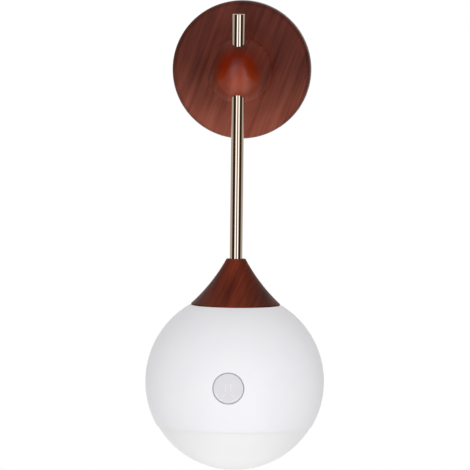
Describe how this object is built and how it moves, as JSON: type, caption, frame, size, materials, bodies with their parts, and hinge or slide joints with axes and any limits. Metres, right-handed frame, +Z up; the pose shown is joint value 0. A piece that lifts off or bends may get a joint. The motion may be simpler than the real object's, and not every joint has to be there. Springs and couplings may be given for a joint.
{
  "type": "motion sensor night light",
  "caption": "Wall night light: a white globe with a motion sensor window and milky diffuser on a polished rod, held to a wooden wall disc by a magnetic ball joint.",
  "frame": {"origin": "centre of the adhesive pad's back face, on the wall", "axes": "+Z up along the hanging rod, +Y into the wall, +X to the right seen from the front"},
  "size_m": [0.09, 0.09, 0.2361],
  "materials": {
    "stained_wood": "satin",
    "ball_lacquer": "gloss",
    "polished_nickel": "polished",
    "white_abs": "satin",
    "milky_polycarbonate": "satin",
    "lens_polyethylene": "satin",
    "black_plastic": "matte",
    "white_inner_plastic": "matte",
    "zinc_steel": "satin",
    "magnet_nickel": "satin",
    "foam_tape": "matte",
    "friction_rubber": "matte",
    "green_circuit_board": "satin",
    "white_circuit_board": "satin",
    "lamp_chip": "satin",
    "cell_sleeve": "gloss",
    "wire_sleeve": "satin"
  },
  "bodies": {
    "base": {"base_disc": "stained_wood", "base_magnet": "magnet_nickel", "base_cover": "black_plastic", "cover_screws": "zinc_steel", "adhesive_pad": "foam_tape"},
    "seat": {"seat_ring": "friction_rubber"},
    "ball": {"pivot_ball": "ball_lacquer", "ball_slug": "zinc_steel"},
    "lamp": {"rod": "polished_nickel", "cone_cap": "stained_wood", "rod_washer": "zinc_steel", "rod_nut": "zinc_steel", "cone_screws": "zinc_steel", "upper_shell": "white_abs", "diffuser": "milky_polycarbonate", "pir_lens": "lens_polyethylene", "sensor_housing": "black_plastic", "sensor_board": "green_circuit_board", "pir_sensor": "zinc_steel", "light_sensor": "lamp_chip", "sensor_screws": "zinc_steel", "chassis": "white_inner_plastic", "chassis_screws": "zinc_steel", "battery": "cell_sleeve", "battery_strap": "black_plastic", "strap_screws": "zinc_steel", "led_board": "white_circuit_board", "leds": "lamp_chip", "led_screws": "zinc_steel", "control_board": "green_circuit_board", "control_screws": "zinc_steel", "slide_switch": "black_plastic", "charge_port": "zinc_steel", "battery_lead": "wire_sleeve", "led_lead": "wire_sleeve", "sensor_lead": "wire_sleeve"},
    "slider": {"mode_slider": "white_abs"}
  },
  "joints": [
    {"name": "swing", "type": "hinge", "parent": "base", "child": "seat", "pos_m": [0, -0.0258, 0], "axis": [0, -1, 0], "continuous": true},
    {"name": "tilt", "type": "hinge", "parent": "seat", "child": "ball", "pos_m": [0, -0.0258, 0], "axis": [-1, 0, 0], "range_deg": [-20, 20]},
    {"name": "twist", "type": "hinge", "parent": "ball", "child": "lamp", "pos_m": [0, -0.0336, 0], "axis": [0, 0, 1], "continuous": true},
    {"name": "mode_slide", "type": "slide", "parent": "lamp", "child": "slider", "axis": [1, 0, 0], "range_m": [-0.002, 0.002]}
  ]
}
